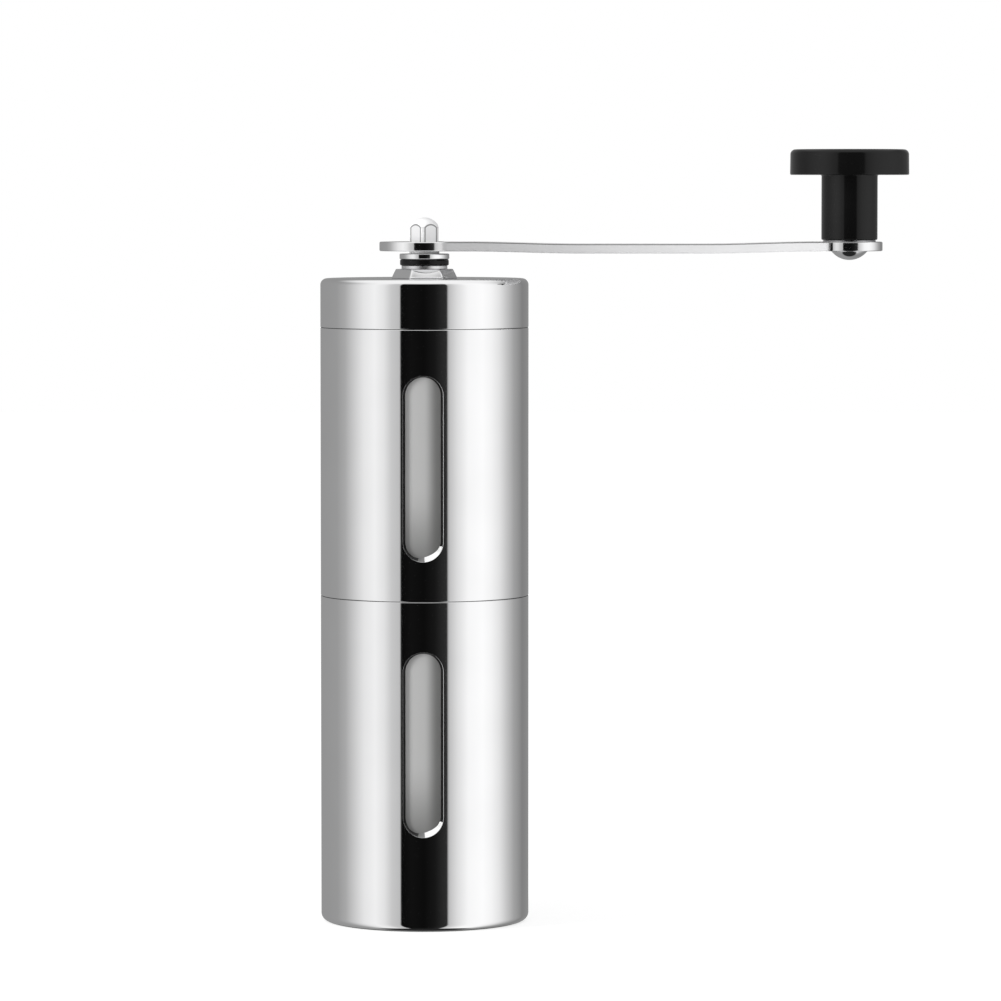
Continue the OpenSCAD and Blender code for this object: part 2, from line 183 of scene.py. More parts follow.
def rounded_outline(corners, closed):
    """Points (place, normal before, normal after) along a half section, with its corners rounded.

    corners are (radius, height, rounding). An open outline starts and ends on the axis."""
    spots = [Vector((c[0], c[1])) for c in corners]
    count = len(spots)
    area = sum(spots[k - 1].cross(spots[k]) for k in range(count))
    if area < 0:
        corners, spots = corners[::-1], spots[::-1]
    line = []
    for k, here in enumerate(spots):
        rounding = corners[k][2] if len(corners[k]) > 2 else 0
        if not closed and k in (0, count - 1):
            neighbour = spots[1] - here if k == 0 else here - spots[k - 1]
            side = outward(neighbour.normalized())
            line.append((here, side, side))
            continue
        before = (here - spots[k - 1]).normalized()
        after = (spots[(k + 1) % count] - here).normalized()
        n_before, n_after = outward(before), outward(after)
        if not rounding:
            line.append((here, n_before, n_after))
            continue
        turn = math.atan2(before.cross(after), before.dot(after))
        reach = rounding * math.tan(abs(turn) / 2)
        bend = math.copysign(1, turn)
        centre = here - before * reach - n_before * rounding * bend
        for step in range(ARC_STEPS + 1):
            angle = turn * step / ARC_STEPS
            normal = Vector((n_before.x * math.cos(angle) - n_before.y * math.sin(angle),
                             n_before.x * math.sin(angle) + n_before.y * math.cos(angle)))
            line.append((centre + normal * rounding * bend, normal, normal))
    return line


def strips_of(line, closed):
    """Pairs of neighbouring outline points with the normals at the two ends of the stretch."""
    pairs = zip(line, line[1:] + line[:1]) if closed else zip(line, line[1:])
    return [(a[0], b[0], a[2], b[1]) for a, b in pairs]


def spun(normal, angle):
    """A half-section normal turned round the axis. Angle 0 faces -Y and grows towards +X."""
    return Vector((normal.x * math.sin(angle), -normal.x * math.cos(angle), normal.y))


def turn_line(line, closed, centre_x):
    """Turns a half section of (place, normal before, normal after) round the axis."""
    surface = Surface()
    rings = []
    for spot, _, _ in line:
        if spot.x < CLOSE:
            rings.append([surface.add((centre_x, 0, spot.y))] * ROUND_STEPS)
            continue
        rings.append([
            surface.add(Vector((centre_x, 0, 0)) + spun(spot, FULL_TURN * k / ROUND_STEPS))
            for k in range(ROUND_STEPS)])
    for k, (_, _, n_a, n_b) in enumerate(strips_of(line, closed)):
        lower, upper = rings[k], rings[(k + 1) % len(rings)]
        for j in range(ROUND_STEPS):
            here, there = FULL_TURN * j / ROUND_STEPS, FULL_TURN * (j + 1) / ROUND_STEPS
            after = (j + 1) % ROUND_STEPS
            surface.face(
                [lower[j], upper[j], upper[after], lower[after]],
                [spun(n_a, here), spun(n_b, here), spun(n_b, there), spun(n_a, there)])
    return surface


# ---- skins from stacks of rings


def smooth_min(a, b, blend):
    """The smaller of two lengths, with the corner between them rounded off."""
    near = max(blend - abs(a - b), 0) / blend
    return min(a, b) - near * near * blend / 4


def smooth_max(a, b, blend):
    return -smooth_min(-a, -b, blend)


def even_angles(count):
    return [FULL_TURN * k / count for k in range(count)]


def ring_at(angles, radius, height, centre_x=0.0):
    """One ring of points. The radius and the height are numbers, or functions of the angle."""
    points = []
    for angle in angles:
        r = radius(angle) if callable(radius) else radius
        z = height(angle) if callable(height) else height
        points.append(Vector((centre_x + r * math.cos(angle), r * math.sin(angle), z)))
    return points


def off_flat(angle, sides, turn):
    """How far an angle lies from the middle of the nearest of a polygon's flats."""
    step = FULL_TURN / sides
    return (angle - turn) % step - step / 2


def polygon_radius(sides, flat_r, corner_r, turn, blend):
    """The radius of a bar with flats, whose corners are cut back to a round."""
    def radius(angle):
        return smooth_min(flat_r / math.cos(off_flat(angle, sides, turn)), corner_r, blend)
    return radius


def hexagon_radius(corner_r):
    """The radius of a hexagon with hardly rounded corners, one of them on the X axis."""
    return polygon_radius(6, corner_r * math.cos(math.pi / 6), corner_r, 0, 0.02 * MM)


def shrunk(radius, by):
    """A radius less a length. The radius is a number, or a function of the angle."""
    return (lambda angle: radius(angle) - by) if callable(radius) else radius - by


def weigh_normals(piece):
    """Lets the large faces set the shading where a narrow rounded edge meets them."""
    weighted = piece.modifiers.new("weighted", "WEIGHTED_NORMAL")
    weighted.keep_sharp = True


def soft_mesh(name, points, faces, material, sharp):
    """A mesh whose shading is smooth over edges that turn by less than sharp degrees."""
    mesh = bpy.data.meshes.new(name)
    mesh.from_pydata(points, [], faces)
    bm = bmesh.new()
    bm.from_mesh(mesh)
    bmesh.ops.recalc_face_normals(bm, faces=bm.faces)
    bm.to_mesh(mesh)
    bm.free()
    mesh.polygons.foreach_set("use_smooth", [True] * len(mesh.polygons))
    mesh.set_sharp_from_angle(angle=math.radians(sharp))
    mesh.materials.append(material)
    piece = place(name, mesh)
    weigh_normals(piece)
    return piece


def band(lower, upper):
    """Faces between two rings, with three corners where a ring is a single point."""
    return [list(dict.fromkeys((lower[k - 1], lower[k], upper[k], upper[k - 1])))
            for k in range(len(lower))]


def ring_stack(name, rings, material, closed=False, sharp=40):
    """A skin over rings with the same number of points. A ring on the axis is a single point."""
    points, ids, faces = [], [], []
    for ring in rings:
        is_tip = (ring[0] - ring[len(ring) // 2]).length < CLOSE
        first = len(points)
        points.extend(ring[:1] if is_tip else ring)
        ids.append([first if is_tip else first + k for k in range(len(ring))])
    for lower, upper in zip(ids, ids[1:] + ids[:1]) if closed else zip(ids, ids[1:]):
        faces += band(lower, upper)
    return soft_mesh(name, points, faces, material, sharp)


EDGE_STEPS = 3           # faces across a small rounded edge


def rounded_edge(rounding, steps=EDGE_STEPS):
    """(inset, drop) places round a quarter circle, from the side to the top face's edge."""
    places = []
    for k in range(steps + 1):
        turn = math.pi / 2 * k / steps
        places.append((rounding * (1 - math.cos(turn)), rounding * (1 - math.sin(turn))))
    return places


def lower_rim(angles, radius, low, edge):
    """Rings up round the lower edge of a piece."""
    return [ring_at(angles, shrunk(radius, inset), low + drop) for inset, drop in edge[::-1]]


def upper_rim(angles, radius, high, edge):
    """Rings over the upper edge of a piece."""
    return [ring_at(angles, shrunk(radius, inset), high - drop) for inset, drop in edge]


# ---- the windowed sleeves

WINDOW_W = 9.6 * MM
WINDOW_H = 43.3 * MM
WINDOW_Z = {"jar_sleeve": 43.75 * MM, "mill_sleeve": JAR_TOP + 30.9 * MM}   # middles
LIP = 0.4 * MM           # width of the cut edge that slopes in through the wall at a window
SILL = 0.8 * MM          # how much wider the slope is at its widest, low on the right
SILL_WAY = Vector((0.37, -0.93))    # where it is widest: below, and a little to the right
SILL_POWER = 3           # how quickly it narrows away from there
# Lit and shaded copies of one steel round a window's slope: a painted highlight, then painted
# shade, darker and darker
SILL_LIT_AND_SHADED = ("sill_painted_highlight", "sill_painted_half_shade", "painted_shade_steel", "painted_deep_shade_steel")
SILL_ARCS = ((-84, -10), (-104, -84), (-152, -104))     # degrees: where the first three are
EDGE_FINE = 0.03 * MM    # rounding between the wall and the slope, at its sharpest
EDGE_SOFT = 0.13 * MM    # and how much rounder it is on the lower right
EDGE_WAY = Vector((0.8, -0.6))      # where it is roundest
EDGE_POWER = 0.7
END_FACE = 0.75          # an end face, whose normal is more upright than this, gets painted shade
LIP_EDGE_STEPS = 5
LIP_SLOPE_STEPS = 3
PATCH_HALF_W = 9.0 * MM  # the stretch of wall round a window that is meshed to its outline
PATCH_MARGIN = 4.0 * MM
PATCH_COLUMNS = 28
PATCH_ROWS = 64
PATCH_RINGS = 7
RING_POWER = 0.7         # under 1, the rings lie closer together near the lip


def cylinder_point(u, z, r):
    """A point at arc length u from the front line, at height z and radius r."""
    angle = u / BODY_R
    return Vector((r * math.sin(angle), -r * math.cos(angle), z))


def cylinder_normal(u, across, up, out):
    """A direction with parts across, up and straight out of the wall, at arc length u."""
    angle = u / BODY_R
    return Vector((across * math.cos(angle) + out * math.sin(angle),
                   across * math.sin(angle) - out * math.cos(angle), up))


def window_side(u, z):
    """For a place (u, z) round a window: the spine's nearest point and the way out from it."""
    spine = (WINDOW_H - WINDOW_W) / 2
    foot = max(-spine, min(spine, z))
    if abs(z) <= spine:
        side = Vector((math.copysign(1, u), 0))
    else:
        side = Vector((u, z - foot)).normalized()
    return Vector((0, foot)), side


def slope_at(side):
    """The lip on one side of a window: edge rounding, slope width and angle, edge's reach."""
    width = LIP + SILL * max(0.0, side.dot(SILL_WAY)) ** SILL_POWER
    angle = math.atan2(WALL, width)
    rounding = EDGE_FINE + EDGE_SOFT * max(0.0, side.dot(EDGE_WAY)) ** EDGE_POWER
    return rounding, width, angle, rounding * math.tan(angle / 2)


def on_edge(side, share):
    """Inset, depth and turn on the rounded edge: share 0 at the wall, 1 where the slope begins."""
    rounding, _, angle, _ = slope_at(side)
    turn = share * angle
    return rounding * math.sin(turn), rounding * (1 - math.cos(turn)), turn


def on_slope(side, share):
    """The same on the slope: share 0 where it begins, 1 at the sleeve's inner face."""
    _, width, angle, reach = slope_at(side)
    distance = reach + share * (math.hypot(width, WALL) - reach)
    return reach + distance * math.cos(angle), distance * math.sin(angle), angle


def sill_finish(side):
    """Which of the sleeve's lit and shaded steels one side of a window's slope has: a painted
    highlight low on the right, painted shade elsewhere.
    """
    angle = math.degrees(math.atan2(side.y, side.x))
    for k, (low, high) in enumerate(SILL_ARCS):
        if low <= angle < high:
            return k + 1
    return len(SILL_ARCS) + 1


def patch_border(columns, rows):
    """The grid places round a window's patch, in order."""
    bottom = [(c, 0) for c in range(columns)]
    right = [(columns, r) for r in range(rows)]
    top = [(c, rows) for c in range(columns, 0, -1)]
    left = [(0, r) for r in range(rows, 0, -1)]
    return bottom + right + top + left


def sleeve_with_window(corners, closed, window_z):
    """A turned sleeve with a round-ended window whose lip turns inwards."""
    surface = Surface()
    half_h = WINDOW_H / 2 + PATCH_MARGIN
    patch_z = [window_z - half_h + 2 * half_h * k / PATCH_ROWS for k in range(PATCH_ROWS + 1)]
    patch_u = [PATCH_HALF_W * (2 * k / PATCH_COLUMNS - 1) for k in range(PATCH_COLUMNS + 1)]
    rest = FULL_TURN * BODY_R - 2 * PATCH_HALF_W
    rest_u = [PATCH_HALF_W + rest * k / ROUND_STEPS for k in range(1, ROUND_STEPS)]
    columns = patch_u + rest_u

    line = rounded_outline(corners, closed)
    full = []            # the outline again, with the patch's rows put into the long walls
    for a, b, n_a, n_b in strips_of(line, closed):
        full.append((a, n_a))
        low, high = sorted((a.y, b.y))
        if abs(a.x - b.x) < CLOSE and low < patch_z[0] and high > patch_z[-1]:
            rows = patch_z if b.y > a.y else patch_z[::-1]
            full.extend((Vector((a.x, z)), n_a) for z in rows)
        full.append((b, n_b))

    points = {}

    def vertex(spot, column):
        key = (round(spot.x * 1e7), round(spot.y * 1e7), 0 if spot.x < CLOSE else column)
        if key not in points:
            points[key] = surface.add(cylinder_point(columns[column], spot.y, spot.x))
        return points[key]

    for (a, n_a), (b, n_b) in zip(full, full[1:]):
        if (a - b).length < CLOSE:
            continue
        in_rows = (abs(a.x - b.x) < CLOSE and min(a.y, b.y) > patch_z[0] - CLOSE
                   and max(a.y, b.y) < patch_z[-1] + CLOSE)
        cut_face = min(abs(n_a.y), abs(n_b.y)) > END_FACE
        # End faces get the painted shade steel: a dark line painted in the seams
        surface.finish = 1 + SILL_LIT_AND_SHADED.index("painted_shade_steel") if cut_face else 0
        for j in range(len(columns)):
            if in_rows and j < PATCH_COLUMNS:
                continue
            after = (j + 1) % len(columns)
            here, there = columns[j] / BODY_R, columns[after] / BODY_R
            surface.face(
                [vertex(a, j), vertex(b, j), vertex(b, after), vertex(a, after)],
                [spun(n_a, here), spun(n_b, here), spun(n_b, there), spun(n_a, there)])

    surface.finish = 0
    border = patch_border(PATCH_COLUMNS, PATCH_ROWS)
    spokes = [window_side(patch_u[c], patch_z[row] - window_z) for c, row in border]

    def on_spoke(k, inset):
        """The place on one of the ways out from the spine, inset from the window's outline."""
        foot, side = spokes[k]
        return foot + side * (WINDOW_W / 2 - inset)

    def wall_point(spot, r):
        return surface.add(cylinder_point(spot.x, spot.y + window_z, r))

    def wall_rings(r, out, place_of, share):
        """Rings from the patch's border to the lip's ring at this share, at radius r."""
        rings = [[(vertex(Vector((r, patch_z[row])), c), cylinder_normal(patch_u[c], 0, 0, out))
                  for c, row in border]]
        for ring in range(1, PATCH_RINGS + 1):
            made = []
            for k, (c, row) in enumerate(border):
                edge = Vector((patch_u[c], patch_z[row] - window_z))
                inset = place_of(spokes[k][1], share)[0]
                spot = edge.lerp(on_spoke(k, inset), (ring / PATCH_RINGS) ** RING_POWER)
                made.append((wall_point(spot, r), cylinder_normal(spot.x, 0, 0, out)))
            rings.append(made)
        return rings

    def lip_ring(place_of, share, known=None):
        """A ring of the lip, on the points of a known ring if there is one."""
        made = []
        for k, (_, side) in enumerate(spokes):
            inset, depth, turn = place_of(side, share)
            spot = on_spoke(k, inset)
            normal = cylinder_normal(spot.x, -side.x * math.sin(turn), -side.y * math.sin(turn),
                                     math.cos(turn))
            made.append((known[k][0] if known else wall_point(spot, BODY_R - depth), normal))
        return made

    def join_at(k, ring_a, ring_b):
        quad = [ring_a[k - 1], ring_a[k], ring_b[k], ring_b[k - 1]]
        surface.face([q[0] for q in quad], [q[1] for q in quad])

    outer = wall_rings(BODY_R, 1, on_edge, 0)
    inner = wall_rings(BODY_R - WALL, -1, on_slope, 1)
    edges = [lip_ring(on_edge, 0, outer[-1])]
    edges += [lip_ring(on_edge, k / LIP_EDGE_STEPS) for k in range(1, LIP_EDGE_STEPS + 1)]
    slopes = [edges[-1]]
    slopes += [lip_ring(on_slope, k / LIP_SLOPE_STEPS) for k in range(1, LIP_SLOPE_STEPS)]
    slopes += [lip_ring(on_slope, 1, inner[-1])]
    for rings in (outer, inner, edges, slopes):
        for ring_a, ring_b in zip(rings, rings[1:]):
            for k, (_, side) in enumerate(spokes):
                surface.finish = sill_finish(side) if rings is slopes else 0
                join_at(k, ring_a, ring_b)
    return surface


# ---- node materials


def colour_of(value):
    """A colour, or a grey given as one number, as four numbers. A socket stays as it is."""
    if isinstance(value, (int, float)):
        return (value, value, value, 1)
    return (*value, 1) if isinstance(value, tuple) else value


class Nodes:
    """Short calls for building a node tree."""

    def __init__(self, tree):
        self.tree = tree
        tree.nodes.clear()

    def feed(self, value, target):
        """Gives an input a value, or links another node's output to it."""
        if isinstance(value, bpy.types.NodeSocket):
            self.tree.links.new(value, target)
        else:
            target.default_value = value

    def fill(self, node, inputs):
        for key, value in inputs.items():
            self.feed(value, node.inputs[key])

    def add(self, kind, inputs=None, **settings):
        """A node with its settings and inputs."""
        node = self.tree.nodes.new(kind)
        for key, value in settings.items():
            setattr(node, key, value)
        self.fill(node, inputs or {})
        return node

    def math(self, operation, a, b=None):
        node = self.add("ShaderNodeMath", operation=operation)
        for value, socket in zip((a, b), node.inputs):
            if value is not None:
                self.feed(value, socket)
        return node.outputs[0]

    def mix(self, factor, a, b):
        """A colour between a and b, each of them a colour, a grey or a socket."""
        inputs = {"Factor": factor, "A": colour_of(a), "B": colour_of(b)}
        return self.add("ShaderNodeMix", inputs, data_type="RGBA").outputs["Result"]

    def axes(self, vector):
        """The three parts of a vector."""
        return self.add("ShaderNodeSeparateXYZ", {"Vector": vector}).outputs

    def coordinates(self, kind):
        return self.add("ShaderNodeTexCoord").outputs[kind]


def new_material(name):
    """A material with a plain shader, its nodes and that shader."""
    material = bpy.data.materials.new(name)
    material.use_nodes = True
    nodes = Nodes(material.node_tree)
    shader = nodes.add("ShaderNodeBsdfPrincipled")
    nodes.add("ShaderNodeOutputMaterial", {"Surface": shader.outputs["BSDF"]})
    return material, nodes, shader


def stretched_noise(nodes, scale, stretch, detail=3.0):
    """Noise in the object's own space, drawn out along its directions of grain."""
    mapping = nodes.add("ShaderNodeMapping", {"Scale": stretch,
                                              "Vector": nodes.coordinates("Object")})
    return nodes.add("ShaderNodeTexNoise", {"Scale": scale, "Detail": detail,
                                            "Vector": mapping.outputs["Vector"]}).outputs["Fac"]


def spread(nodes, source, low, high):
    """Maps 0..1 noise to low..high."""
    span = {"Value": source, "To Min": low, "To Max": high}
    return nodes.add("ShaderNodeMapRange", span).outputs["Result"]


def ramp_between(nodes, source, low, high, value_low, value_high):
    """A soft step from value_low to value_high as the source goes from low to high."""
    span = {"Value": source, "From Min": low, "From Max": high,
            "To Min": value_low, "To Max": value_high}
    step = nodes.add("ShaderNodeMapRange", span, interpolation_type="SMOOTHSTEP")
    return step.outputs["Result"]


def bump(nodes, shader, source, distance, strength):
    node = nodes.add("ShaderNodeBump", {"Height": source, "Distance": distance,
                                        "Strength": strength})
    nodes.feed(node.outputs["Normal"], shader.inputs["Normal"])


def tint(nodes, shader, source, dark, light):
    """Colour that drifts between two close tones."""
    ramp = nodes.add("ShaderNodeValToRGB", {"Fac": source})
    for stop, position, tone in zip(ramp.color_ramp.elements, (0.3, 0.7), (dark, light)):
        stop.position = position
        stop.color = colour_of(tone)
    nodes.feed(ramp.outputs["Color"], shader.inputs["Base Color"])


def metal(name, dark, light, rough, grain_scale, grain_stretch, grain_depth, metallic=1):
    """A metal with a directional grain: turned, brushed or polished."""
    material, nodes, shader = new_material(name)
    grain = stretched_noise(nodes, grain_scale, grain_stretch)
    patches = stretched_noise(nodes, 60, (1, 1, 1))
    tint(nodes, shader, patches, dark, light)
    roughness = nodes.math("ADD", spread(nodes, grain, rough[0], rough[1]),
                           spread(nodes, patches, 0, rough[2]))
    nodes.fill(shader, {"Metallic": metallic, "Roughness": roughness})
    bump(nodes, shader, grain, grain_depth, 0.5)
    return material


def plastic(name, dark, light, rough, grain_scale, grain_depth, ior=1.5):
    """Moulded plastic or rubber: a fine grain and a slight drift of tone."""
    material, nodes, shader = new_material(name)
    grain = stretched_noise(nodes, grain_scale, (1, 1, 1), 4)
    patches = stretched_noise(nodes, 90, (1, 1, 1))
    tint(nodes, shader, patches, dark, light)
    nodes.fill(shader, {"IOR": ior, "Roughness": spread(nodes, grain, *rough)})
    bump(nodes, shader, grain, grain_depth, 0.4)
    return material


def object_axis(nodes, axis):
    """The place along one of the object's own axes."""
    return nodes.axes(nodes.coordinates("Object"))[axis]


def frosted_plastic(name, sleeve):
    """Milky see-through plastic, with painted shade low behind a window and towards its right."""
    window_low = WINDOW_Z[sleeve] - WINDOW_H / 2
    material, nodes, shader = new_material(name)
    grain = stretched_noise(nodes, 2500, (1, 1, 1), 2)
    patches = stretched_noise(nodes, 40, (1, 1, 0.3))
    unshaded_colour = nodes.mix(patches, (0.43, 0.43, 0.427), (0.46, 0.46, 0.457))
    # Painted shade: darker low behind the window and towards its right side
    height = ramp_between(nodes, object_axis(nodes, "Z"), window_low - 2 * MM,
                          window_low + 18 * MM, 0.25, 1)
    across = ramp_between(nodes, object_axis(nodes, "X"), 0.1 * MM, 3.3 * MM, 1, 0.2)
    painted_shade_colour = nodes.mix(nodes.math("MULTIPLY", height, across), (0.11, 0.11, 0.107), unshaded_colour)
    nodes.fill(shader, {"Base Color": painted_shade_colour, "IOR": 1.49, "Transmission Weight": 0.35,
                        "Roughness": spread(nodes, grain, 0.36, 0.44)})
    bump(nodes, shader, grain, 0.00001, 0.3)
    return material


def paint_over(nodes, shader, where, colour):
    """Lays a colour over what the shader already has, where the mask is 1."""
    base = shader.inputs["Base Color"]
    nodes.feed(nodes.mix(where, base.links[0].from_socket, colour), base)


def paint_shade_on_upper_edges(nodes, shader, where):
    """Painted shade: darker where the surface turns upwards, on the rounded upper edges."""
    up = nodes.axes(nodes.add("ShaderNodeNewGeometry").outputs["Normal"])["Z"]
    turning = nodes.math("MULTIPLY", ramp_between(nodes, up, 0.1, 0.3, 0, 1),
                         ramp_between(nodes, up, 0.93, 0.99, 1, 0))
    paint_over(nodes, shader, nodes.math("MULTIPLY", where, turning), 0.32)


BAR_START = (3.5 * MM, 6 * MM)      # x where the arm's bright hub fades into its satin bar
BAR_END = (KNOB_X - 6 * MM, KNOB_X - 4.5 * MM)      # and the bar into the bright knob end


def arm_steel():
    """The crank arm: bright ends, and a satin bar made less metallic, and so paler, towards the
    knob as painted light.
    """
    material, nodes, shader = new_material("arm_steel")
    striations = stretched_noise(nodes, 2600, (1, 0.05, 0.05))
    patches = stretched_noise(nodes, 60, (1, 1, 1))
    tint(nodes, shader, patches, (0.86, 0.86, 0.865), (0.92, 0.92, 0.925))
    x = object_axis(nodes, "X")
    on_bar = nodes.math("MULTIPLY", ramp_between(nodes, x, *BAR_START, 0, 1),
                        ramp_between(nodes, x, *BAR_END, 1, 0))
    satin = nodes.math("MULTIPLY", on_bar, 0.78)
    worn = nodes.math("ADD", satin, spread(nodes, striations, 0.04, 0.12))
    # Painted light: the bar grows less metallic, so paler, towards the knob
    painted_light = nodes.math("MULTIPLY", on_bar, ramp_between(nodes, x, 0, KNOB_X, 0.05, 0.42))
    nodes.fill(shader, {"Roughness": worn, "Metallic": nodes.math("SUBTRACT", 1, painted_light)})
    # painted shade on the bar's upper edges
    paint_shade_on_upper_edges(nodes, shader, on_bar)
    bump(nodes, shader, striations, 0.000006, 0.4)
    return material


# Each metal: two tones (one number is a grey), roughness (lowest, highest, more in
# patches), the grain's scale, stretch and depth, and how metallic it is if not wholly
METALS = {
    "polished_steel": ((0.87, 0.87, 0.875), (0.9, 0.9, 0.905), (0.03, 0.055, 0.015),
                       900, (0.02, 0.02, 1), 0.000002),
    "satin_steel": ((0.82, 0.82, 0.825), (0.87, 0.87, 0.875), (0.3, 0.36, 0.04),
                    1200, (0.1, 0.1, 1), 0.000006),
    # The next four are lit and shaded copies of one steel: a painted highlight and painted shade on
    # the windows' slopes and the sleeves' end faces
    "sill_painted_highlight": (0.9, 0.95, (0.26, 0.34, 0.1), 1500, (1, 1, 0.2), 0.000008, 0.7),
    "sill_painted_half_shade": (0.26, 0.34, (0.3, 0.4, 0.1), 1500, (1, 1, 0.2), 0.000008),
    "painted_shade_steel": (0.07, 0.1, (0.3, 0.4, 0.1), 1500, (1, 1, 0.2), 0.000008),
    "painted_deep_shade_steel": (0.018, 0.03, (0.3, 0.4, 0.05), 1500, (1, 1, 0.2), 0.00001),
    "plain_steel": ((0.52, 0.52, 0.53), (0.6, 0.6, 0.61), (0.22, 0.34, 0.05),
                    1200, (0.2, 0.2, 1), 0.00001),
    "bush_brass": ((0.64, 0.46, 0.2), (0.72, 0.54, 0.26), (0.2, 0.32, 0.05),
                   1200, (0.1, 0.1, 1), 0.00001),
}
# Each plastic, rubber or ceramic: two tones, roughness, the grain's scale and depth, and
# its refractive index if it isn't 1.5
PLASTICS = {
    "black_gloss": (0.003, 0.005, (0.1, 0.16), 1500, 0.000004, 1.34),
    "dark_plastic": ((0.03, 0.03, 0.032), (0.045, 0.045, 0.048), (0.38, 0.5), 3000, 0.00002),
    "black_rubber": (0.006, 0.01, (0.28, 0.4), 2500, 0.00001),
    "seal_black": (0.003, 0.005, (0.16, 0.24), 2500, 0.000004, 1.3),
    "white_ceramic": ((0.72, 0.7, 0.64), (0.8, 0.78, 0.72), (0.5, 0.65), 2200, 0.00004),
}
MATERIALS = {name: metal(name, *row) for name, row in METALS.items()}
MATERIALS |= {name: plastic(name, *row) for name, row in PLASTICS.items()}
MATERIALS["arm_steel"] = arm_steel()
MATERIALS["frosted_plastic"] = frosted_plastic("frosted_cup", "jar_sleeve")
MATERIALS["frosted_tube"] = frosted_plastic("frosted_tube", "mill_sleeve")

# ---- sleeves, lid and liners

EDGE = 0.22 * MM         # rounding of the sleeves' rims at the seams
BASE_ROUND = 1.8 * MM
LID_ROUND = 1.5 * MM
LID_HOLE_R = 4.55 * MM


def make_sleeve(name, node, corners, closed):
    """A polished sleeve with its window, in the lit and shaded steels that paint highlight and
    shade on the window's slope.
    """
    surface = sleeve_with_window(corners, closed, WINDOW_Z[node])
    finishes = [MATERIALS[steel] for steel in ("polished_steel", *SILL_LIT_AND_SHADED)]
    stand_for(surface.build(name, *finishes), node)


def make_sleeves():
    inner = BODY_R - WALL
    make_sleeve("jar_shell", "jar_sleeve", [
        (0, JAR_LOW), (BODY_R, JAR_LOW, BASE_ROUND), (BODY_R, JAR_TOP, EDGE),
        (inner, JAR_TOP, EDGE), (inner, JAR_LOW + WALL, BASE_ROUND - WALL),
        (0, JAR_LOW + WALL)], False)
    make_sleeve("mill_shell", "mill_sleeve", [
        (BODY_R, MILL_LOW, EDGE), (BODY_R, MILL_TOP, EDGE), (inner, MILL_TOP, EDGE),
        (inner, MILL_LOW, EDGE)], True)


def turned(name, node, corners, closed=True, centre_x=0.0, material=None):
    """A turned piece that stands for a CAD node, in the finish of the node's slot."""
    surface = turn_line(rounded_outline(corners, closed), closed, centre_x)
    return stand_for(surface.build(name, material or MATERIALS[SLOT_OF[node]]), node)


def make_lid():
    turned("lid_cap", "lid_shell", [
        (LID_HOLE_R, LID_TOP), (BODY_R, LID_TOP, LID_ROUND), (BODY_R, LID_LOW, EDGE),
        (BODY_R - WALL, LID_LOW, EDGE), (BODY_R - WALL, LID_TOP - WALL, LID_ROUND - WALL),
        (LID_HOLE_R, LID_TOP - WALL)])
    low, high = heights_of("lid_insert")
    plug_r = radius_of("neck_ring") - 0.25 * MM
    plug_wall = 1.5 * MM
    disc = high - 2.05 * MM
    soft = 0.3 * MM
    turned("lid_plug", "lid_insert", [
        (LID_HOLE_R, high, soft), (LINER_R, high, 0.6 * MM), (LINER_R, LID_LOW + 0.1 * MM, soft),
        (plug_r, LID_LOW + 0.1 * MM, soft), (plug_r, low, 2 * soft),
        (plug_r - plug_wall, low, soft), (plug_r - plug_wall, disc, 2 * soft),
        (LID_HOLE_R, disc, soft)])


def make_liners():
    inner = LINER_R - LINER_WALL
    lip = LINER_WALL / 3
    low, high = heights_of("jar_liner")
    turned("grounds_cup", "jar_liner", [
        (0, low), (LINER_R, low, BASE_ROUND), (LINER_R, high, lip), (inner, high, lip),
        (inner, low + LINER_WALL, BASE_ROUND), (0, low + LINER_WALL)], closed=False)
    low, high = heights_of("hopper")
    turned("hopper_tube", "hopper", [
        (LINER_R, low, lip), (LINER_R, high, lip), (inner, high, lip), (inner, low, lip)],
        material=MATERIALS["frosted_tube"])


# ---- the stack on the lid


def plain_ring(name, node, inner_r, rounding, centre_x=0.0, material=None):
    """A washer, ring or collar: the CAD node's outer size, a given bore and rounded edges."""
    low, high = heights_of(node)
    outer_r = radius_of(node)
    inside = min(rounding, 0.12 * MM)
    return turned(name, node, [
        (inner_r, low, inside), (outer_r, low, rounding), (outer_r, high, rounding),
        (inner_r, high, inside)], centre_x=centre_x, material=material)


NUT_SIDES = 6
NUT_CORNER_R = 7.9 * MM
NUT_TURN = math.radians(5.5)
NUT_LEAN = 1.05 * MM     # how far the nut's sloping sides lean in from bottom to top
NUT_HOLLOW = 0.15        # how hollow the sloping sides are: 0 is straight
NUT_ROWS = 12


def make_nut():
    """A flat hexagon nut with sloping sides and rounded corners."""
    low, high = heights_of("lid_nut")
    angles = even_angles(240)
    flat_r = NUT_CORNER_R * math.cos(math.pi / NUT_SIDES)
    hexagon = polygon_radius(NUT_SIDES, flat_r, NUT_CORNER_R - 0.1 * MM, NUT_TURN, 0.25 * MM)

    def outline(z):
        share = (z - low) / (high - low)
        return shrunk(hexagon, NUT_LEAN * share * (1 - NUT_HOLLOW + NUT_HOLLOW * share))

    rounding = 0.15 * MM
    edge = rounded_edge(rounding)
    rings = [ring_at(angles, LID_HOLE_R, low)]
    rings += lower_rim(angles, outline(low), low, edge)
    rows = [low + rounding + (high - low - 2 * rounding) * k / NUT_ROWS
            for k in range(1, NUT_ROWS)]
    rings += [ring_at(angles, outline(z), z) for z in rows]
    rings += [ring_at(angles, shrunk(outline(high - drop), inset), high - drop)
              for inset, drop in edge]
    rings += [ring_at(angles, LID_HOLE_R, high)]
    piece = ring_stack("lid_hex_nut", rings, MATERIALS["polished_steel"], closed=True)
    stand_for(piece, "lid_nut")


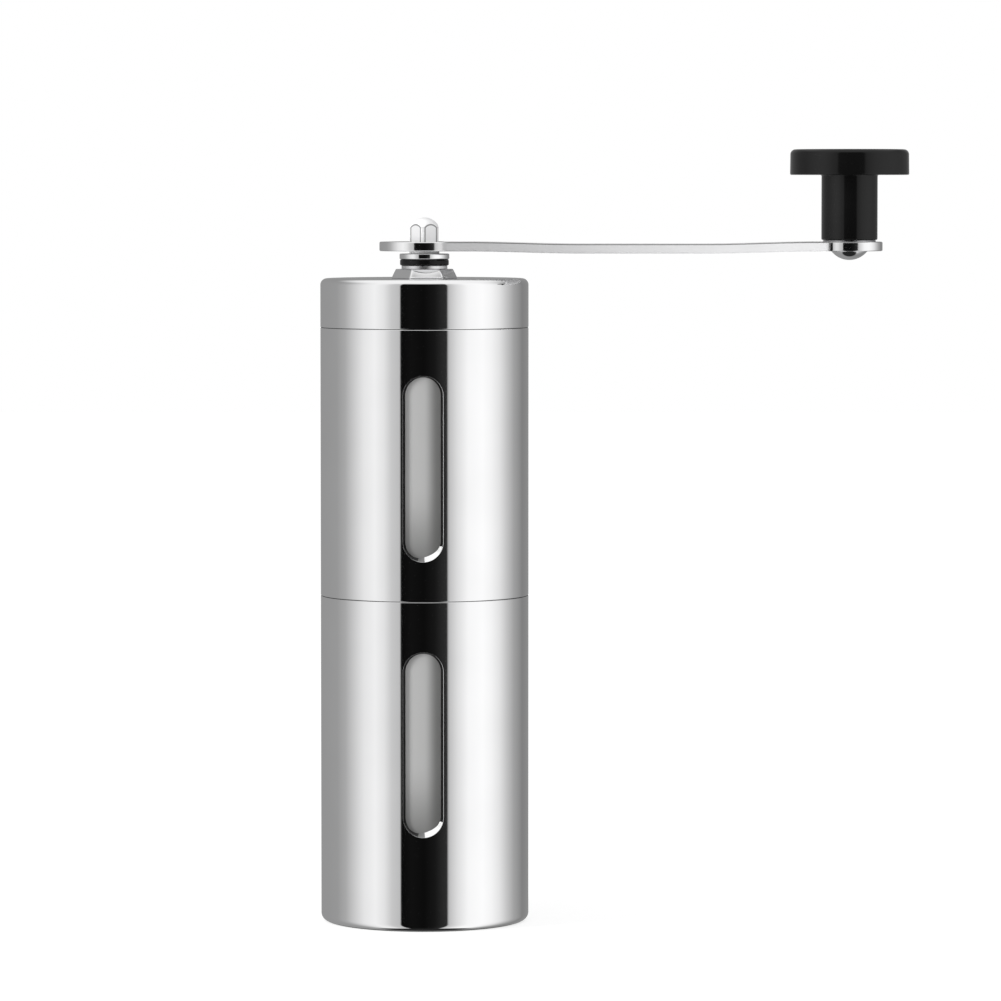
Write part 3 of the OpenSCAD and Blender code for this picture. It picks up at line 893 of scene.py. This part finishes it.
def make_lid_stack():
    make_nut()
    plain_ring("lid_ring", "lid_washer", LID_HOLE_R, 0.12 * MM,
               material=MATERIALS["satin_steel"])
    plain_ring("seal", "seal_ring", LID_HOLE_R, 0.4 * MM, material=MATERIALS["seal_black"])
    plain_ring("bush_cap", "bush_collar", SHAFT_R + 2 * FIT, 0.25 * MM)
    low, high = heights_of("lid_bush")
    flange_r = radius_of("lid_bush")
    flange_top = low + 1.5 * MM
    tube_r = LID_HOLE_R - FIT
    soft = 0.15 * MM
    turned("lid_sleeve_bush", "lid_bush", [
        (SHAFT_R + FIT, low, soft), (flange_r, low, soft), (flange_r, flange_top, soft),
        (tube_r, flange_top, soft), (tube_r, high, soft), (SHAFT_R + FIT, high, soft)])


# ---- the drive shaft

DRIVE_SIDES = 5
DRIVE_TURN = math.radians(-96)
DRIVE_LAND = 0.8 * MM    # width of the round land left between two flats
FLAT_STEPS = 20
LAND_STEPS = 5
DOME_R = SHAFT_R + 0.25 * MM
DOME_STEPS = 14
DOME_BREAK = 0.035       # the edge of the dome is broken by this angle
THREAD_R = 3.0 * MM
THREAD_PITCH = 1.0 * MM
THREAD_DEPTH = 0.5 * MM
THREAD_CHAMFER = 0.6 * MM
THREAD_HALF_GROOVE = 0.3125     # half the groove's width, as a share of the pitch
THREAD_ROWS = 9          # rings in one turn of the thread
SHAFT_FLATS = 5.2 * MM
COLLAR_R = 5.8 * MM
LAND_ANGLE = math.asin(DRIVE_LAND / 2 / SHAFT_R)
DRIVE_FLAT_R = SHAFT_R * math.cos(math.pi / DRIVE_SIDES - LAND_ANGLE)


def drive_angles():
    """Angles round the shaft, with a line of points along each edge of every flat."""
    angles = []
    half = math.pi / DRIVE_SIDES
    for flat in range(DRIVE_SIDES):
        middle = DRIVE_TURN + half * (2 * flat + 1)
        wide = half - LAND_ANGLE
        angles += [middle - wide + 2 * wide * k / FLAT_STEPS for k in range(FLAT_STEPS)]
        angles += [middle + wide + 2 * LAND_ANGLE * k / LAND_STEPS for k in range(LAND_STEPS)]
    return angles


def drive_radius(play=0.0):
    return polygon_radius(DRIVE_SIDES, DRIVE_FLAT_R + play, SHAFT_R + play, DRIVE_TURN, 0.03 * MM)


def flat_radius(angle):
    """How far out the nearer of the two flats along the X axis lies."""
    return SHAFT_FLATS / 2 / max(abs(math.sin(angle)), 1e-6)


def two_flats(r):
    """The radius of a round bar with a flat on each side of the X axis."""
    return lambda angle: min(r, flat_radius(angle))


def thread_radius(z):
    def radius(angle):
        phase = (angle / FULL_TURN - z / THREAD_PITCH) % 1
        groove = THREAD_DEPTH * (1 - min(1.0, abs(phase - 0.5) / THREAD_HALF_GROOVE))
        return min(THREAD_R - groove, flat_radius(angle))
    return radius


SHADE_LINE_START = (0.945, 0.97)   # where the line of painted shade beside a flat's edge fades in, as a share
SHADE_LINE_END = (0.99, 0.998)     # of the way out to the round land or the dome, and fades out


def shaft_steel(dome_z):
    """Satin steel with a line of painted shade along the edges of the flats.

    The round lands and the dome beyond the line are paler and less metallic."""
    material, nodes, shader = new_material("shaft_steel")
    grain = stretched_noise(nodes, 1500, (1, 1, 0.2))
    patches = stretched_noise(nodes, 60, (1, 1, 1))
    tint(nodes, shader, patches, (0.84, 0.84, 0.845), (0.89, 0.89, 0.895))
    x, y = object_axis(nodes, "X"), object_axis(nodes, "Y")
    squared = nodes.math("ADD", nodes.math("MULTIPLY", x, x), nodes.math("MULTIPLY", y, y))
    up = nodes.math("SUBTRACT", object_axis(nodes, "Z"), dome_z)
    up = nodes.math("MAXIMUM", up, 0)
    off_dome = nodes.math("SQRT", nodes.math("ADD", squared, nodes.math("MULTIPLY", up, up)))
    near = nodes.math("MAXIMUM", nodes.math("DIVIDE", nodes.math("SQRT", squared), SHAFT_R),
                      nodes.math("DIVIDE", off_dome, DOME_R))
    # Painted shade: a dark line along the edges of the flats and round the dome
    line = nodes.math("MULTIPLY", ramp_between(nodes, near, *SHADE_LINE_START, 0, 0.8),
                      ramp_between(nodes, near, *SHADE_LINE_END, 1, 0))
    paint_over(nodes, shader, line, 0.1)
    nodes.fill(shader, {"Metallic": ramp_between(nodes, near, *SHADE_LINE_END, 0.72, 0.4),
                        "Roughness": spread(nodes, grain, 0.44, 0.52)})
    bump(nodes, shader, grain, 0.000005, 0.5)
    return material


def make_shaft():
    """The spindle: a threaded end with flats, a round bar with a collar, and the drive end."""
    low, high = heights_of("drive_shaft")
    burr_low = heights_of("burr_driver")[0] + 1.0 * MM
    flats_top = heights_of("shaft_bush")[0] - 3 * MM
    collar_low = heights_of("thrust_washer")[1] + FIT
    collar_top = collar_low + 2.0 * MM
    arm_low = heights_of("knob_axle")[0] + RIVET_H
    angles = drive_angles()
    soft = 0.2 * MM
    rings = [ring_at(angles, 0, low), ring_at(angles, THREAD_R - THREAD_CHAMFER, low)]
    rows = int((burr_low - low) / THREAD_PITCH * THREAD_ROWS)
    for k in range(1, rows):
        z = low + (burr_low - low) * k / rows
        rings.append(ring_at(angles, thread_radius(z), z))
    rings += [ring_at(angles, two_flats(THREAD_R), burr_low),
              ring_at(angles, two_flats(SHAFT_R - soft), burr_low),
              ring_at(angles, two_flats(SHAFT_R), burr_low + soft),
              ring_at(angles, two_flats(SHAFT_R), flats_top),
              ring_at(angles, SHAFT_R, flats_top),
              ring_at(angles, SHAFT_R, collar_low)]
    rings += lower_rim(angles, COLLAR_R, collar_low, rounded_edge(soft))
    rings += upper_rim(angles, COLLAR_R, collar_top, rounded_edge(soft))
    rings += [ring_at(angles, SHAFT_R, collar_top), ring_at(angles, SHAFT_R, arm_low)]
    profile = drive_radius()
    centre = high - DOME_R
    rings.append(ring_at(angles, profile, arm_low))

    def dome_angle(angle):
        """How far from the top the dome meets a flat or a land."""
        return math.asin(profile(angle) / DOME_R)

    rings.append(ring_at(
        angles, profile, lambda a: centre + DOME_R * math.cos(dome_angle(a) + DOME_BREAK)))
    for k in range(DOME_STEPS + 1):
        share = 1 - k / DOME_STEPS
        rings.append(ring_at(
            angles, lambda a: DOME_R * math.sin((dome_angle(a) - DOME_BREAK) * share),
            lambda a: centre + DOME_R * math.cos((dome_angle(a) - DOME_BREAK) * share)))
    piece = ring_stack("spindle_shaft", rings, shaft_steel(centre), sharp=24)
    stand_for(piece, "drive_shaft")
    plain_ring("thrust_ring", "thrust_washer", SHAFT_R + FIT, 0.12 * MM)
    plain_ring("spring_ring", "spring_washer", SHAFT_R + FIT, 0.12 * MM)


# ---- the crank arm

ARM_T = 2.2 * MM
ARM_DROP = 0.5 * MM      # how far the middle of the bar is bent down below its two ends
ARM_SLOPE = 26 * MM      # length of the bent stretch next to each end
ARM_EDGE = 0.3 * MM
ARM_EDGE_STEPS = 4
BAR_HUB_W = 19.2 * MM
BAR_PAD_W = 12.8 * MM
ARM_BLEND = 0.5 * MM     # rounding in plan where the bar meets a round end
END_STEPS = 22           # stations round a quarter of an end


def soft_step(x, low, high):
    share = max(0.0, min(1.0, (x - low) / (high - low)))
    return share * share * (3 - 2 * share)


def arm_dip(x):
    leaving = soft_step(x, HUB_R, HUB_R + ARM_SLOPE)
    coming = 1 - soft_step(x, KNOB_X - PAD_R - ARM_SLOPE, KNOB_X - PAD_R)
    return ARM_DROP * leaving * coming


def arm_stations():
    """x places between the two round ends, closer together where the outline bends."""
    stations = []
    x = 0.0
    while x < KNOB_X - CLOSE:
        stations.append(x)
        near_end = x < HUB_R + 2 * MM or x > KNOB_X - PAD_R - 4 * MM
        x += 0.5 * MM if near_end else 2 * MM
    return stations + [KNOB_X]


def half_round(distance, r):
    return math.sqrt(max(0.0, r * r - distance * distance))


def arm_outline(inset):
    """(x, half width) of the arm's outline, drawn in by inset, from the hub's tip to the pad's."""
    hub, pad = HUB_R - inset, PAD_R - inset
    quarter = [math.pi / 2 * k / END_STEPS for k in range(END_STEPS)]
    line = [(-hub * math.cos(a), hub * math.sin(a)) for a in quarter]
    for x in arm_stations():
        bar = (BAR_HUB_W + (BAR_PAD_W - BAR_HUB_W) * x / KNOB_X) / 2 - inset
        width = smooth_max(bar, half_round(x, hub), ARM_BLEND)
        line.append((x, smooth_max(width, half_round(KNOB_X - x, pad), ARM_BLEND)))
    line += [(KNOB_X + pad * math.sin(a), pad * math.cos(a)) for a in quarter[1:]]
    return line + [(KNOB_X + pad, 0.0)]


def arm_loop(inset, z):
    """The closed outline at one inset, at height z above the bar's own dip."""
    line = arm_outline(inset)
    back = [(x, -w) for x, w in line[-2:0:-1]]
    return [Vector((x, y, z - arm_dip(x))) for x, y in line + back]


def arm_cap(loop_ids, points, hole_ids):
    """Triangles that close the flat part of a face round one hole."""
    ids = loop_ids + hole_ids
    flat = [[Vector((points[i].x, points[i].y, 0)) for i in ring]
            for ring in (loop_ids, hole_ids)]
    return [[ids[i] for i in triangle] for triangle in tessellate_polygon(flat)]


def make_arm():
    """The flat crank arm: two round ends with their holes, and a slightly bent bar between."""
    top = ARM_HIGH.z
    low = top - ARM_T
    points, faces, loops = [], [], []
    edge = rounded_edge(ARM_EDGE, ARM_EDGE_STEPS)
    sections = [(inset, top - drop) for inset, drop in edge[::-1]]
    sections += [(inset, low + (top - z)) for inset, z in sections[::-1]]
    for inset, z in sections:
        first = len(points)
        points += arm_loop(inset, z)
        loops.append(list(range(first, len(points))))
    for upper, lower in zip(loops, loops[1:]):
        faces += band(upper, lower)

    hub_hole = (drive_angles(), drive_radius(FIT), 0.0)
    pad_hole = (even_angles(60), STEM_BORE_R - FIT / 2, KNOB_X)
    holes = []
    for angles, radius, centre in (hub_hole, pad_hole):
        ends = []
        for z in (top, low):
            first = len(points)
            points += ring_at(angles, radius, z, centre)
            ends.append(list(range(first, len(points))))
        holes.append(ends)
        faces += band(*ends)

    count = len(arm_outline(0))
    for side, loop in ((0, loops[0]), (1, loops[-1])):
        mirror = {k: loop[(len(loop) - k) % len(loop)] for k in range(count)}
        xs = [points[loop[k]].x for k in range(count)]
        last_hub = max(k for k in range(count) if xs[k] <= HUB_R + CLOSE)
        first_pad = min(k for k in range(count) if xs[k] >= KNOB_X - PAD_R - CLOSE)
        for k in range(last_hub, first_pad):
            faces.append([loop[k], loop[k + 1], mirror[k + 1], mirror[k]])
        hub_loop = [loop[k] for k in range(last_hub + 1)]
        hub_loop += [mirror[k] for k in range(last_hub, 0, -1)]
        pad_loop = [loop[k] for k in range(first_pad, count)]
        pad_loop += [mirror[k] for k in range(count - 2, first_pad - 1, -1)]
        faces += arm_cap(hub_loop, points, holes[0][side])
        faces += arm_cap(pad_loop, points, holes[1][side])
    piece = soft_mesh("arm", points, faces, MATERIALS["arm_steel"], 40)
    stand_for(piece, "crank_arm")


# ---- the knob and its rivet

DISC_H = 6.0 * MM
STEM_R = 6.6 * MM
POCKET_R = 5.0 * MM
CAP_R = 5.6 * MM
CAP_H = 1.4 * MM
RIVET_R = 4.25 * MM
RIVET_H = 2.1 * MM
HEAD_STEPS = 18
HEAD_BREAK = 0.03        # the rim of the rivet's head is broken by this angle
AXLE_R = 3.0 * MM


def make_knob():
    """A mushroom knob: a stem that runs on the rivet, a flat disc, and the cap in its top."""
    low, high = heights_of("knob_body")
    disc_low = high - DISC_H
    pocket = heights_of("knob_clip")[0] - 0.15 * MM
    disc_r = radius_of("knob_body")
    turned("knob_grip", "knob_body", [
        (STEM_BORE_R, low, 0.2 * MM), (STEM_R, low, 0.35 * MM), (STEM_R, disc_low, 0.35 * MM),
        (disc_r, disc_low, 0.3 * MM), (disc_r - 0.08 * MM, high, 1.2 * MM),
        (CAP_R + FIT, high, 0.1 * MM), (CAP_R + FIT, high - CAP_H), (POCKET_R, high - CAP_H),
        (POCKET_R, pocket), (STEM_BORE_R, pocket)], centre_x=KNOB_X)
    turned("knob_plug", "knob_cap", [
        (0, high - CAP_H), (CAP_R, high - CAP_H, 0.1 * MM), (CAP_R, high, 0.3 * MM),
        (0, high - 0.1 * MM)], closed=False, centre_x=KNOB_X)


def make_rivet():
    """The rivet that the knob turns on: a domed head under the arm, and a grooved pin."""
    low, high = heights_of("knob_axle")
    dome_r = (RIVET_R * RIVET_R + RIVET_H * RIVET_H) / (2 * RIVET_H)
    centre = Vector((0, low + dome_r))
    widest = math.asin(RIVET_R / dome_r)
    line = []
    for k in range(HEAD_STEPS + 1):
        turn = (widest - HEAD_BREAK) * k / HEAD_STEPS
        normal = Vector((math.sin(turn), -math.cos(turn)))
        line.append((centre + normal * dome_r, normal, normal))
    arm_low = low + RIVET_H
    clip_low, clip_high = heights_of("knob_clip")
    groove_r = AXLE_R - 0.55 * MM
    rest = [(0, low), (RIVET_R, low + RIVET_H * 0.8), (RIVET_R - 0.02 * MM, arm_low, 0.1 * MM),
            (AXLE_R, arm_low), (AXLE_R, clip_low - FIT), (groove_r, clip_low - FIT),
            (groove_r, clip_high + FIT), (AXLE_R, clip_high + FIT), (AXLE_R, high, 0.3 * MM),
            (0, high)]
    line += rounded_outline(rest, False)[2:]
    surface = turn_line(line, False, KNOB_X)
    stand_for(surface.build("knob_rivet", MATERIALS["polished_steel"]), "knob_axle")
    plain_ring("knob_ring", "knob_washer", STEM_BORE_R, 0.1 * MM, KNOB_X)


# ---- dial, burr and inner pieces

DIAL_LOBES = 10
DIAL_SCALLOP_R = 3.0 * MM
DIAL_NUT_R = 4.65 * MM
DIAL_FLOOR = 1.0 * MM


def make_dial():
    """The grind setting wheel: scalloped for the fingers, with a pocket for its brass nut."""
    low, high = heights_of("adjust_dial")
    outer_r = 11.0 * MM
    reach = outer_r + DIAL_SCALLOP_R * 0.6
    angles = even_angles(DIAL_LOBES * 30)

    def scalloped(angle):
        off = off_flat(angle, DIAL_LOBES, -math.pi / DIAL_LOBES)
        across = reach * math.sin(off)
        if abs(across) >= DIAL_SCALLOP_R:
            return outer_r
        hollow = reach * math.cos(off) - math.sqrt(DIAL_SCALLOP_R ** 2 - across ** 2)
        return smooth_min(outer_r, hollow, 0.5 * MM)

    hexagon = hexagon_radius(DIAL_NUT_R)
    edge = rounded_edge(0.5 * MM, 5)
    rings = [ring_at(angles, THREAD_R + 0.4 * MM, low)]
    rings += lower_rim(angles, scalloped, low, edge)
    rings += upper_rim(angles, scalloped, high, edge)
    rings += [ring_at(angles, hexagon, high), ring_at(angles, hexagon, low + DIAL_FLOOR),
              ring_at(angles, THREAD_R + 0.4 * MM, low + DIAL_FLOOR)]
    piece = ring_stack("grind_dial", rings, MATERIALS["dark_plastic"], closed=True)
    stand_for(piece, "adjust_dial")


BURR_TEETH = 14
BURR_FINE_TEETH = 42
BURR_TWIST = 0.42        # how far the coarse teeth wind round over the burr's height, in turns
BURR_ROWS = 40
BURR_SOCKET_R = 5.25 * MM    # corners of the six-sided hole for the driver


def make_inner_burr():
    """The moving burr: coarse winding teeth that draw the beans in, fine teeth at the rim."""
    low, high = heights_of("inner_burr")
    rim_r = radius_of("inner_burr")
    rim = low + 1.0 * MM
    shoulder_r, shoulder = rim_r - 1.6 * MM, low + 5.0 * MM
    top_r = 8.0 * MM
    angles = even_angles(BURR_FINE_TEETH * 8)

    def saw(angle, teeth, wind):
        return abs(((angle / FULL_TURN * teeth + wind) % 1) * 2 - 1)

    def outline(z):
        if z < rim:
            base = rim_r
        elif z < shoulder:
            base = rim_r + (shoulder_r - rim_r) * (z - rim) / (shoulder - rim)
        else:
            base = shoulder_r + (top_r - shoulder_r) * (z - shoulder) / (high - shoulder)
        height = (z - low) / (high - low)
        coarse = 1.5 * MM * soft_step(height, 0.15, 0.8)
        fine = 0.3 * MM * (1 - soft_step(height, 0.3, 0.6))

        def radius(angle):
            wind = BURR_TWIST * BURR_TEETH * height
            return (base - coarse * saw(angle, BURR_TEETH, wind)
                    - fine * saw(angle, BURR_FINE_TEETH, wind))
        return radius

    hexagon = hexagon_radius(BURR_SOCKET_R)
    rings = [ring_at(angles, hexagon, low), ring_at(angles, shrunk(outline(low), 0.2 * MM), low)]
    rows = [low + (high - low) * k / BURR_ROWS for k in range(1, BURR_ROWS)]
    rings += [ring_at(angles, outline(z), z) for z in rows]
    rings += [ring_at(angles, shrunk(outline(high), 0.2 * MM), high),
              ring_at(angles, hexagon, high)]
    piece = ring_stack("cone_burr", rings, MATERIALS["white_ceramic"], closed=True, sharp=50)
    stand_for(piece, "inner_burr")


def make_neck_ring():
    low, high = heights_of("neck_ring")
    wire = (high - low) / 2
    outer_r = radius_of("neck_ring")
    full = wire * 0.999
    turned("neck_seal", "neck_ring", [
        (outer_r - 2 * wire, low, full), (outer_r, low, full), (outer_r, high, full),
        (outer_r - 2 * wire, high, full)])


def bevel_cad(node, width, segments=2):
    """Softens a CAD node's edges for the light to catch, without moving its faces."""
    piece = frame["nodes"][node]
    bevel = piece.modifiers.new("bevel", "BEVEL")
    bevel.width = width
    bevel.segments = segments
    bevel.limit_method = "ANGLE"
    bevel.angle_limit = math.radians(30)
    bevel.harden_normals = False
    weigh_normals(piece)


def paint_cad_nodes():
    """Every CAD node takes the material of its slot."""
    for node, piece in frame["nodes"].items():
        piece.data.materials.clear()
        piece.data.materials.append(MATERIALS[SLOT_OF[node]])


# ---- light

# Brightness of the studio round the object, by direction in degrees: 0 is towards the
# camera, positive to its right. Two tall panels stand either side of a dark gap.
STUDIO = [(-180, 0.30), (-132, 0.33), (-113, 0.35), (-98, 0.44), (-85, 0.64), (-70, 0.88),
          (-56, 0.98), (-45, 0.86), (-36, 0.64), (-26.6, 0.56), (-26.2, 0.003), (-14, 0.006),
          (0, 0.004), (12, 0.009), (20, 0.022), (26.4, 0.03), (26.8, 0.55), (37, 0.8),
          (50, 1.04), (68, 1.1), (80, 1.02), (92, 0.86), (104, 0.62), (118, 0.4), (139, 0.24),
          (180, 0.30)]
PANEL_TOP = (0.5, 0.84)     # sine of the elevation where the panels fade into the ceiling
PANEL_FOOT = (-0.93, -0.88)  # and where they stop above the dark floor of the studio
CEILING_LEVEL = 1.0          # the studio's ceiling and floor, as reflections show them
FLOOR_LEVEL = 0.02
FILL = 0.95                  # the light that rough surfaces get


def make_world():
    world = bpy.data.worlds.new("studio")
    world.use_nodes = True
    world.cycles.sampling_method = "NONE"
    nodes = Nodes(world.node_tree)
    x, y, z = nodes.axes(nodes.coordinates("Generated"))
    angle = nodes.math("ARCTAN2", x, nodes.math("MULTIPLY", y, -1))
    turn = nodes.math("ADD", nodes.math("DIVIDE", angle, FULL_TURN), 0.5)
    ramp = nodes.add("ShaderNodeValToRGB", {"Fac": turn})
    stops = ramp.color_ramp.elements
    while len(stops) > 1:
        stops.remove(stops[-1])
    for k, (degrees, level) in enumerate(STUDIO):
        position = degrees / 360 + 0.5
        stop = stops[0] if k == 0 else stops.new(position)
        stop.position = position
        stop.color = colour_of(level)
    above = nodes.mix(ramp_between(nodes, z, *PANEL_TOP, 0, 1), ramp.outputs["Color"],
                      CEILING_LEVEL)
    below = nodes.mix(ramp_between(nodes, z, *PANEL_FOOT, 1, 0), above, FLOOR_LEVEL)
    path = nodes.add("ShaderNodeLightPath").outputs
    plain = nodes.mix(path["Is Camera Ray"], FILL, 1)
    seen = nodes.mix(path["Is Glossy Ray"], plain, below)
    background = nodes.add("ShaderNodeBackground", {"Color": seen})
    nodes.add("ShaderNodeOutputWorld", {"Surface": background.outputs["Background"]})
    bpy.context.scene.world = world


STRIP_SIZE = (0.22, 0.5)
STRIP_POWER = 11
STRIP_DISTANCE = 0.8
STRIP_TURN = math.radians(-65)      # to the left of the camera
STRIP_HEIGHT = 0.14
FLOOR_HALF = 3.0
FLOOR_TONE = 0.32
FLOOR_GLOW = 0.73            # keeps all but the faintest shadow off the floor


def make_strip_light():
    """A tall softbox well to the left, which models the liners behind the windows."""
    data = bpy.data.lights.new("strip", "AREA")
    data.shape = "RECTANGLE"
    data.size, data.size_y = STRIP_SIZE
    data.energy = STRIP_POWER
    light = place("strip", data)
    light.location = (STRIP_DISTANCE * math.sin(STRIP_TURN),
                      -STRIP_DISTANCE * math.cos(STRIP_TURN), STRIP_HEIGHT)
    point_at(light, Vector((0, 0, 0.1)))
    light.visible_glossy = False
    light.visible_camera = False


def make_floor():
    """A plain pale floor."""
    a = FLOOR_HALF
    mesh = bpy.data.meshes.new("floor")
    mesh.from_pydata([(-a, -a, 0), (a, -a, 0), (a, a, 0), (-a, a, 0)], [], [(0, 1, 2, 3)])
    material, nodes, shader = new_material("floor")
    nodes.fill(shader, {"Base Color": colour_of(FLOOR_TONE), "Roughness": 0.9,
                        "Specular IOR Level": 0, "Emission Color": colour_of(1),
                        "Emission Strength": FLOOR_GLOW})
    mesh.materials.append(material)
    floor = place("floor", mesh)
    floor.visible_glossy = False


# ---- the scene

make_camera()
bpy.context.scene.view_settings.view_transform = "Standard"
make_world()
make_strip_light()
make_floor()
paint_cad_nodes()
make_sleeves()
make_lid()
make_liners()
make_lid_stack()
make_shaft()
make_arm()
make_knob()
make_rivet()
make_dial()
make_inner_burr()
make_neck_ring()
for name in ("burr_housing", "outer_burr", "burr_retainer", "burr_screws", "shaft_bush",
             "burr_driver", "dial_nut", "knob_clip"):
    bevel_cad(name, 0.12 * MM)
coil = frame["nodes"]["spring"].modifiers.new("round", "SUBSURF")
coil.levels = 1
coil.render_levels = 1
